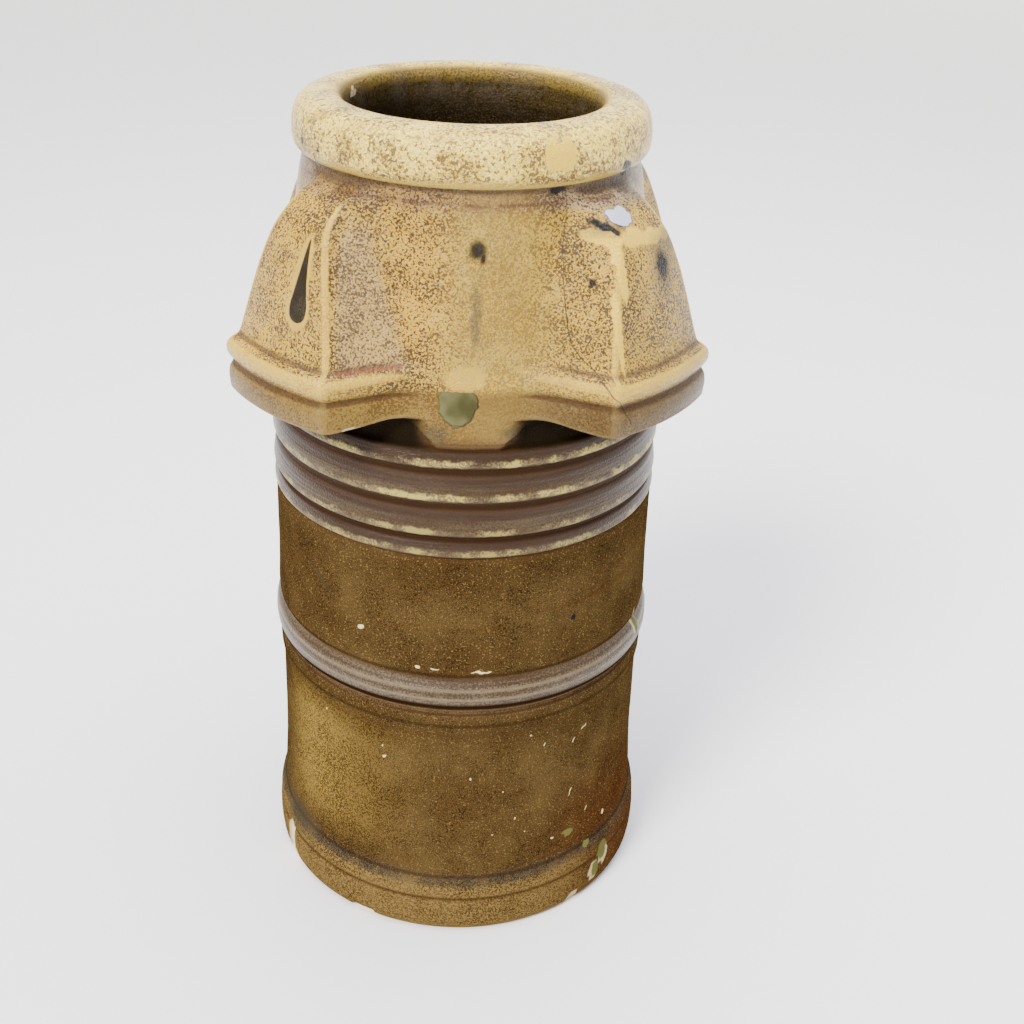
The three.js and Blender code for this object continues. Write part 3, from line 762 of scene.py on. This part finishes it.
class Marks:
    """Masks for lists of marks, each an ellipse laid on the wall.

    Each mark waits for the one before it, through a share too small to see, so that few are worked out at once.
    """

    HAIR = 1e-9
    DEPTH = 30 * MM

    def __init__(self, tree, place):
        self.tree, self.place, self.last = tree, place, None

    def one(self, mark, soft):
        turn, radius, height, half_w, half_h, tilt = mark
        a = math.radians(turn)
        start = self.place
        if self.last is not None:
            start = add_node(self.tree, "ShaderNodeVectorMath", {
                0: self.last, 1: (self.HAIR,) * 3, 2: self.place}, operation="MULTIPLY_ADD").outputs[0]
        node = add_node(self.tree, "ShaderNodeMapping", {
            "Vector": start,
            "Location": (radius * MM * math.sin(a), -radius * MM * math.cos(a), height * MM),
            "Rotation": (0, math.radians(tilt), a),
            "Scale": (half_w * MM, self.DEPTH, half_h * MM),
        }, vector_type="TEXTURE")
        length = add_node(self.tree, "ShaderNodeVectorMath", {0: node.outputs[0]}, operation="LENGTH")
        return Sum(self.tree, length.outputs["Value"]).fall(1 - soft, 1 + soft)

    def mask(self, marks, soft=0.16):
        total = None
        for mark in marks:
            found = self.one(mark, soft)
            total = found if total is None else total.op("MAXIMUM", found)
            self.last = total
        return total


def attribute_value(tree, label):
    return Sum(tree, add_node(tree, "ShaderNodeAttribute", attribute_name=label).outputs["Fac"])


class Coats:
    """Colours laid one over another in a node tree."""

    def __init__(self, tree, colour):
        self.tree, self.colour = tree, colour

    def over(self, mask, colour):
        under = self.colour if isinstance(self.colour, bpy.types.NodeSocket) else (*self.colour, 1)
        node = add_node(self.tree, "ShaderNodeMix", {0: mask, 6: under, 7: (*colour, 1)}, data_type="RGBA")
        self.colour = node.outputs[2]


def near_levels(level, heights, flat, reach):
    """One within the flat distance of any of the heights, falling to nought at the reach."""
    total = None
    for height in heights:
        found = (level - height).op("ABSOLUTE").fall(flat, reach)
        total = found if total is None else total.op("MAXIMUM", found)
    return total


def curve_of(tree, value, points, low, high, out_low, out_high):
    """A value read from a smooth curve through the points, for a crack's or a drip's line."""
    scaled = (value - low) * (1 / (high - low))
    node = tree.nodes.new("ShaderNodeFloatCurve")
    line = node.mapping.curves[0]
    pairs = [((p - low) / (high - low), (q - out_low) / (out_high - out_low)) for p, q in points]
    line.points[0].location, line.points[1].location = pairs[0], pairs[-1]
    for pair in pairs[1:-1]:
        line.points.new(*pair)
    node.mapping.update()
    tree.links.new(scaled.socket, node.inputs["Value"])
    return Sum(tree, node.outputs["Value"]) * (out_high - out_low) + out_low


CRACK = [(530, 35.6), (553, 32.4), (565, 29.8), (572, 29.7), (578, 28.8), (583, 27.7), (589, 26.8), (595, 26.2),
         (604, 26), (619, 26.1), (634, 26.3), (649, 26.6), (664, 27.1), (675, 28), (690, 29.2), (702, 29.7),
         (719, 27.8)]
TEARDROP = [(604, 0.0), (605, 4.0), (607, 6.8), (611, 8.8), (616, 9.2), (624, 7.8), (636, 5.4), (648, 3.5), (658, 2.1),
            (667, 0.8), (669, 0.0)]


def salt_glaze():
    """Salt glaze: light and dark mottle that grows finer down the shaft, worn edges, drips, chips and cracks."""
    p = props()
    material = bpy.data.materials.new("salt_glaze")
    material.use_nodes = True
    tree = material.node_tree
    link = tree.links.new
    shader = tree.nodes["Principled BSDF"]
    place = tree.nodes.new("ShaderNodeTexCoord").outputs["Object"]
    part = add_node(tree, "ShaderNodeSeparateXYZ", {0: place})
    x, y, height = (Sum(tree, part.outputs[i]) for i in range(3))
    turn = x.op("ARCTAN2", y * -1.0) * (180 / math.pi)
    level = height * (1 / MM)
    raw, wear, hollow, inside, side = (
        attribute_value(tree, label) for label in ("raw", "wear", "hollow", "inside", "side"))

    # the same point pushed about a little, so that the marks' edges aren't drawn with a compass
    stir = add_node(tree, "ShaderNodeTexNoise", {"Scale": 150, "Detail": 1, "Vector": place})
    pushed = add_node(tree, "ShaderNodeVectorMath", {
        0: stir.outputs["Color"], 1: (2 * PUSH,) * 3, 2: place}, operation="MULTIPLY_ADD")
    loose = add_node(tree, "ShaderNodeVectorMath", {
        0: pushed.outputs[0], 1: (PUSH,) * 3}, operation="SUBTRACT").outputs[0]

    # zones by height
    upper = level.ramp(500, 514)
    rim = level.ramp(709, 716)
    rings = level.band(402, 406, 501, 508)
    belt = level.band(256, 259, 280, 285)
    second = level.band(241, 244, 249, 253)
    foot = level.fall(52, 66)
    lower = level.fall(215, 240)
    skirt = level.band(505, 512, 548, 558)

    blotch = value_noise(tree, place, 11, 2, 0.6)
    cloud = value_noise(tree, place, 34, 2, 0.6)
    banding = value_noise(tree, stretched(tree, place, 6, 6, 130), 1.0, 2, 0.55)
    worm = value_noise(tree, place, 560, 1, 0.5, 0.5)
    fine = value_noise(tree, place, 600, 2, 0.55)
    grain = value_noise(tree, place, 1700, 0, 0.6)

    # ground colour of each zone
    ground = Coats(tree, p.glaze_shaft)
    ground.over(blotch.ramp(0.35, 0.62), (0.064, 0.037, 0.012))
    gold = turn.fall(-58, -8) * turn.ramp(-76, -52) * level.ramp(60, 120) * lower
    ground.over(gold * 0.85, (0.23, 0.15, 0.034))
    ground.over(turn.fall(-88, -62) * turn.ramp(-120, -95) * level.fall(395, 410) * 0.7, (0.05, 0.032, 0.014))
    red = turn.band(16, 50, 75, 115) * level.fall(70, 190)
    ground.over(red * 0.9, (0.066, 0.021, 0.006))
    ground.over(foot * 0.9, (0.165, 0.105, 0.034))
    ground.over(foot * turn.ramp(25, 60) * turn.fall(95, 140) * 0.85, (0.06, 0.018, 0.007))
    ground.over(level.band(51, 55, 62, 68) * cloud.ramp(0.3, 0.6, 0.5, 1.0) * 0.75, (0.034, 0.033, 0.029))
    ground.over(belt * 0.85, (0.115, 0.082, 0.04))
    # painted highlight: a paler band at about 241 to 253 mm, on the second bead
    ground.over(second * 0.6, (0.13, 0.085, 0.05))
    ground.over(rings, (0.052, 0.031, 0.011))
    ground.over(upper, p.glaze_light)
    golden = turn.band(-40, -22, -14, -3) * level.ramp(560, 590)
    ground.over(upper * golden * 0.7, (0.50, 0.275, 0.010))
    # painted light: brighter, more golden glaze on the left, where the lamp falls
    ground.over(upper * turn.fall(-50, -40) * turn.ramp(-130, -100) * 0.7, (0.52, 0.30, 0.008))
    pale = turn.band(-18, 6, 8, 34) * upper * (blotch * 0.6 + 0.6)
    ground.over(pale * 0.6, (0.31, 0.225, 0.045))
    ground.over(upper * blotch.ramp(0.5, 0.68) * 0.5, (0.36, 0.22, 0.014))
    ground.over(upper * cloud.ramp(0.5, 0.7) * 0.5, (0.60, 0.37, 0.02))
    # painted reflection: a grey-lilac sky sheen on the hoods' right-hand side faces
    ground.over(side * (cloud * 0.8 + 0.4) * 0.85, (0.42, 0.28, 0.115))
    neck = level.band(688, 700, 712, 716)
    ground.over(neck * 0.75, (0.20, 0.115, 0.035))
    # painted reflection: a lilac-grey sky sheen on the right of the neck
    ground.over(neck * turn.ramp(14, 34) * turn.fall(70, 100) * 0.6, (0.30, 0.245, 0.17))
    ground.over(rim, (0.93, 0.67, 0.085))
    ground.over(rim * cloud.ramp(0.48, 0.62) * 0.5, (0.78, 0.50, 0.04))
    # painted shade: the bottom of the rim, under its roll, made darker olive
    ground.over(rim * level.fall(717, 725) * 0.7, (0.30, 0.205, 0.05))
    ground.over(skirt * 0.9, (0.165, 0.105, 0.026))
    ground.over(skirt * level.fall(509, 520) * 0.6, (0.075, 0.034, 0.008))

    dark_bands = near_levels(level, (308, 224, 392), 8.0, 30.0) * (blotch * 0.8 + 0.3)
    ground.over(dark_bands * upper.fall(0, 1) * 0.5, (0.035, 0.018, 0.006))

    # painted shade: the skirt made darker on the right, away from the lamp
    ground.over(skirt * turn.ramp(8, 26) * turn.fall(75, 100) * 0.7, (0.062, 0.042, 0.018))

    # dark iron mottle: short worms on the hoods and rim, a fine net on the shaft
    marks = Marks(tree, loose)
    glass = marks.mask(GREEN_GLASS, 0.07) * level.fall(552.4, 553.4)
    blue = marks.mask(BLUE_GLASS, 0.08)
    gilt = marks.mask(GOLD_SPOTS, 0.2)
    bald = marks.mask(BALD_SPOTS, 0.3).op("MAXIMUM", gilt)
    keep = (wear.ramp(0.25, 0.8, 1.0, 0.4) * bald.fall(0.2, 0.8)) * raw.fall(0.1, 0.5)
    threshold = ((cloud * 0.22) + (blotch * 0.14) - 0.18) * upper.fade(0.45, 1.0)
    hooded = upper * pale.fade(1.0, 0.45) * skirt.fade(1.0, 0.6) * rim.fade(1.0, 0.9)
    broad = (worm + threshold).ramp(0.50, 0.58) * hooded * rim.fade(1.0, 0.35)
    ring_net = (worm - 0.5).op("ABSOLUTE").fall(0.012, 0.05) * hooded * cloud.ramp(0.42, 0.58)
    small = (fine + threshold).ramp(0.46, 0.55) * upper.fade(1.0, 0.45)
    mottle = Coats(tree, ground.colour)
    mottle.over(small * keep * upper.fall(0, 1) * 0.92, (0.011, 0.005, 0.0015))
    mottle.over((fine - threshold).ramp(0.56, 0.64) * upper.fade(0.5, 0.0), (0.23, 0.155, 0.052))
    mottle.over(small * keep * upper * 0.7, (0.12, 0.055, 0.011))
    mottle.over((fine - threshold).ramp(0.56, 0.66) * upper * skirt.fade(0.35, 0.1), (0.70, 0.46, 0.14))
    mottle.over(ring_net * keep * 0.7, (0.085, 0.033, 0.007))
    mottle.over(broad * keep * 0.93, p.glaze_dark)
    # painted reflection: a little more of the grey-lilac sky sheen on the side faces
    mottle.over(side * 0.12, (0.42, 0.30, 0.13))
    coarse = value_noise(tree, place, 330, 2, 0.55)
    mottle.over(rim * keep * (coarse + threshold).ramp(0.50, 0.57) * 0.85, (0.105, 0.05, 0.010))
    # painted highlight: near-white glints among the rim's worms
    mottle.over(rim * keep * worm.fall(0.32, 0.40) * 0.5, (0.95, 0.80, 0.42))

    # rings and belt: grey streaks, a painted reflection of the sky on what faces up; brown in the coves; painted shade
    # under the grooves and in hollows; painted highlights on the belt; patches of pale yellow on the edges
    stepped = rings.op("MAXIMUM", belt)
    # painted reflection: grey streaks of sky over the rings and belt
    mottle.over(stepped * banding.ramp(0.42, 0.62) * 0.35, (0.10, 0.078, 0.046))
    mottle.over(stepped * banding.fall(0.40, 0.52) * cloud.ramp(0.35, 0.6) * 0.75, (0.04, 0.018, 0.005))
    rough_level = Sum(tree, add_node(tree, "ShaderNodeSeparateXYZ", {0: loose}).outputs[2]) * (1 / MM)
    edge = near_levels(rough_level, (491.6, 460.6), 1.4, 4.6)
    edge = edge.op("MAXIMUM", near_levels(rough_level, (428.6, 408.6), 1.2, 4.0) * 0.55)
    patch = cloud * 0.7 + worm * 0.3
    cove = near_levels(level, (504.5, 484, 452, 421.5, 255), 1.2, 5.5)
    fold = near_levels(level, (233, 286.5, 62, 40), 0.6, 3.0)
    # painted shade: the upper part of each ring's face, under its groove, darkened
    shade = near_levels(level, (497, 476, 445, 416), 1.0, 9.0)
    mottle.over(shade * rings * 0.85, (0.022, 0.009, 0.003))
    mottle.over(belt * small * 0.85, (0.035, 0.018, 0.007))
    mottle.over(rings * small * 0.6, (0.030, 0.013, 0.004))
    ruled = near_levels(level, (269, 276.5, 244), 0.4, 1.4) * banding.ramp(0.35, 0.5)
    mottle.over(ruled * 0.7, (0.03, 0.015, 0.006))
    # painted highlights: thin pale lines along the belt's beads
    mottle.over(near_levels(level, (248.5, 272.5, 264), 0.5, 2.0) * fine.ramp(0.4, 0.6) * 0.5, (0.26, 0.20, 0.12))
    mottle.over(cove * 0.94, (0.012, 0.005, 0.002))
    mottle.over(fold * 0.6, (0.02, 0.010, 0.004))
    # painted shade: the hollows of the surface darkened
    mottle.over(hollow.ramp(0.2, 0.9) * upper.fade(0.3, 0.75), (0.05, 0.022, 0.007))
    mottle.over(edge * patch.ramp(0.40, 0.52) * 0.75, (0.20, 0.15, 0.06))
    mottle.over(edge * patch.ramp(0.52, 0.56) * 0.9, (0.37, 0.30, 0.07))
    worn = wear.ramp(0.3, 0.85) * upper * cloud.ramp(0.36, 0.54, 0.3, 1.0)
    mottle.over(worn * level.ramp(552, 562) * 0.5, (0.64, 0.42, 0.05))
    mottle.over(worn * level.fall(552, 562) * 0.25, (0.24, 0.165, 0.06))
    mottle.over(bald * 0.6, (0.46, 0.29, 0.03))
    mottle.over(gilt * 0.8, (0.72, 0.46, 0.03))

    # throwing lines in brown
    lines = banding.ramp(0.60, 0.68) * level.ramp(260, 300) * upper.fade(1.0, 0.2)
    lines = lines.op("MAXIMUM", level.ramp(697.5, 699) * level.fall(700.5, 702) * cloud.ramp(0.4, 0.5) * 2.0)
    mottle.over(lines * 0.3, (0.06, 0.022, 0.006))
    red_line = level.band(566.5, 569, 571.5, 573.5) * upper * wear.fall(0.0, 0.4)
    mottle.over(red_line * side.ramp(0.2, 0.6) * 0.8, (0.16, 0.04, 0.012))
    mottle.over(level.band(505, 507.5, 510, 513) * 0.7, (0.045, 0.018, 0.006))

    # smears, drips and glass
    mottle.over(marks.mask(SMEARS, 0.6) * 0.6, (0.035, 0.03, 0.02))
    mottle.over(glass, (0.045, 0.043, 0.015))
    mottle.over(glass * cloud.ramp(0.4, 0.62) * 0.5, (0.17, 0.16, 0.07))
    mottle.over(blue, (0.42, 0.44, 0.52))
    mottle.over(blue * cloud.ramp(0.48, 0.6) * 0.6, (0.17, 0.18, 0.26))
    burnt = marks.mask(BURNT_SPOTS, 0.5)
    mottle.over(burnt * 0.95, (0.010, 0.010, 0.011))
    width = curve_of(tree, level, TEARDROP, 600, 672, 0, 10)
    across = ((turn + 42.1) * (math.pi / 180 * 202)).op("ABSOLUTE")
    tear = (width - across).ramp(-0.4, 0.6) * level.ramp(603, 604.5) * level.fall(668, 669.5)
    tear = tear * (turn + 60).op("GREATER_THAN", 0.0) * (turn * -1.0).op("GREATER_THAN", 20.0)
    drips = marks.mask(DARK_DRIPS, 0.22).op("MAXIMUM", tear)
    mottle.over(drips * 0.97, (0.006, 0.006, 0.007))
    # painted reflection: pale grey-green specks in the teardrop drip
    mottle.over(tear * grain.ramp(0.58, 0.66) * cloud.ramp(0.45, 0.6) * 0.4, (0.12, 0.11, 0.07))

    # inside of the flue and up under the hoods: thinly glazed; the flue is smoked, and under the hoods the same dark
    # is painted shade; below about 600 mm both are darker still, painted shade
    mottle.over(inside * 0.97, (0.017, 0.011, 0.005))
    # painted shade: darker below about 600 mm, under the hoods and down the flue
    mottle.over(inside * level.fall(590, 620) * 0.8, (0.006, 0.004, 0.002))
    mottle.over(inside * level.ramp(600, 640) * fine.ramp(0.52, 0.60) * 0.7, (0.09, 0.06, 0.03))
    mottle.over(inside * level.ramp(690, 748) * cloud.ramp(0.45, 0.65) * 0.4, (0.10, 0.08, 0.055))
    mottle.over(inside * level.ramp(742, 752) * worm.ramp(0.45, 0.55) * 0.6, (0.30, 0.19, 0.05))

    # bare clay in the chips, and pale specks
    clay = raw.ramp(0.35, 0.6)
    mottle.over(clay * 0.9, p.bare_clay)
    mottle.over(marks.mask(LICHEN, 0.2), (0.105, 0.105, 0.03))
    white = marks.mask(WHITE_CHIPS, 0.12)
    mottle.over(white * 0.95, (0.62, 0.53, 0.29))

    # cracks
    wander = (value_noise(tree, place, 95, 1, 0.6) - 0.5) * 1.6
    line = curve_of(tree, level, CRACK, 525, 722, 20, 40)
    off = ((turn + wander * 0.45 - line) * (math.pi / 180 * 170)).op("ABSOLUTE")
    crack = off.fall(0.15, 0.65) * level.ramp(531, 534) * level.fall(708, 712)
    near = turn.band(18, 19, 41, 42)
    rung = ((level - 620.5 + (turn - 26) * 0.45 + wander).op("ABSOLUTE")).fall(0.2, 0.65)
    crack = crack.op("MAXIMUM", rung * turn.ramp(22.6, 23.2) * turn.fall(28.4, 29)) * near
    mottle.over(crack * 0.85, (0.02, 0.010, 0.005))
    link(mottle.colour, shader.inputs["Base Color"])

    # gloss: glassy where the glaze is thick, duller low on the shaft, matt in chips
    gloss = (worm * 0.14 + 0.11) + upper.fade(0.25, 0.0) - stepped * 0.12 + hollow * 0.2
    rough = gloss * tear.fade(1.0, 0.5) * glass.fade(1.0, 0.5)
    rough = (rough + clay * 0.4 + white * 0.35 + inside * 0.3).op("MINIMUM", 0.9)
    link(rough.socket, shader.inputs["Roughness"])
    shine = upper.fade(0.0, 0.34) * skirt.fade(1.0, 0.35) + stepped * 0.22
    shine = shine * inside.fade(1.0, 0.1) * cove.fade(1.0, 0.2) * burnt.fade(1.0, 0.3)
    shine = shine * drips.fade(1.0, 0.5)
    link(shine.socket, shader.inputs["Specular IOR Level"])
    shader.inputs["IOR"].default_value = 1.5

    # relief: orange peel, throwing lines and the swell of each drop
    raised = tear.op("MAXIMUM", glass).op("MAXIMUM", blue)
    relief = (worm * upper.fade(0.2, 1.0) * -0.8 + fine * -0.4 + grain * -0.1) * raised.fade(1.0, 0.15)
    relief = relief + banding * stepped.fade(0.5, 1.4) + raised * 1.4 - clay * 0.6
    bump = add_node(tree, "ShaderNodeBump", {"Strength": 0.85, "Distance": 2 * MM, "Height": relief})
    link(bump.outputs[0], shader.inputs["Normal"])
    return material


def floor_material():
    material = bpy.data.materials.new("pale_floor")
    material.use_nodes = True
    shader = material.node_tree.nodes["Principled BSDF"]
    shader.inputs["Base Color"].default_value = (*props().floor_tone, 1)
    shader.inputs["Roughness"].default_value = 0.6
    return material


class POT_OT_stage(bpy.types.Operator):
    """Set the floor, the soft lights and the camera"""

    bl_idname = "chimney_pot.stage"
    bl_label = "Stage"

    def execute(self, context):
        scene = context.scene
        # a round floor that sweeps up into a low backdrop far from the pot
        n = FLOOR_SIDES
        spots = [(radius * math.cos(math.tau * i / n), radius * math.sin(math.tau * i / n), rise)
                 for radius, rise in FLOOR_SWEEP for i in range(n)]
        faces = [(k * n + n + i, k * n + n + (i + 1) % n, k * n + (i + 1) % n, k * n + i)
                 for k in range(len(FLOOR_SWEEP) - 1) for i in range(n)]
        floor = helper_mesh("floor", spots, [tuple(range(n)), *faces])
        floor.data.polygons.foreach_set("use_smooth", [True] * len(floor.data.polygons))
        floor.data.materials.append(floor_material())
        world = bpy.data.worlds.new("studio")
        world.use_nodes = True
        back = world.node_tree.nodes["Background"]
        back.inputs["Color"].default_value = SKY
        back.inputs["Strength"].default_value = SKY_STRENGTH
        scene.world = world
        for label, (kind, place, width, power, tint) in LIGHTS.items():
            data = bpy.data.lights.new(label, kind)
            data.energy, data.color = power, tint
            if kind == "SUN":
                data.angle = width
            else:
                data.size = width
            light = bpy.data.objects.new(label, data)
            light.location = place
            light.rotation_euler = (Vector(LIT_POINT) - Vector(place)).to_track_quat("-Z", "Y").to_euler()
            scene.collection.objects.link(light)
        data = bpy.data.cameras.new("photo_camera")
        data.sensor_width = 36
        data.lens = CAMERA_LENS
        data.shift_x, data.shift_y = CAMERA_SHIFT
        camera = bpy.data.objects.new("photo_camera", data)
        scene.collection.objects.link(camera)
        level = math.cos(CAMERA_TILT)
        ahead = Vector((math.sin(CAMERA_PAN) * level, math.cos(CAMERA_PAN) * level, -math.sin(CAMERA_TILT)))
        right = Vector((math.cos(CAMERA_PAN), -math.sin(CAMERA_PAN), 0))
        up = right.cross(ahead)
        x_axis = math.cos(CAMERA_ROLL) * right + math.sin(CAMERA_ROLL) * up
        y_axis = -math.sin(CAMERA_ROLL) * right + math.cos(CAMERA_ROLL) * up
        matrix = Matrix((x_axis, y_axis, -ahead)).transposed().to_4x4()
        matrix.translation = CAMERA_PLACE
        camera.matrix_world = Matrix.Rotation(CAMERA_TURN, 4, "Z") @ matrix
        scene.camera = camera
        return {"FINISHED"}


class POT_PT_panel(bpy.types.Panel):
    """Chimney pot tools"""

    bl_label = "Chimney Pot"
    bl_idname = "POT_PT_panel"
    bl_space_type = "VIEW_3D"
    bl_region_type = "UI"
    bl_category = "Chimney Pot"

    def draw(self, context):
        for key in ChimneyPotSizes.__annotations__:
            self.layout.prop(props(), key)
        for operator in OPERATORS:
            self.layout.operator(operator.bl_idname)


OPERATORS = (POT_OT_body, POT_OT_stage)
CLASSES = (ChimneyPotSizes, *OPERATORS, POT_PT_panel)


def register():
    for cls in CLASSES:
        bpy.utils.register_class(cls)
    bpy.types.Scene.chimney_pot = PointerProperty(type=ChimneyPotSizes)


def unregister():
    del bpy.types.Scene.chimney_pot
    for cls in reversed(CLASSES):
        bpy.utils.unregister_class(cls)


def main():
    register()
    bpy.ops.chimney_pot.body()
    bpy.ops.chimney_pot.stage()


if __name__ == "__main__":
    main()
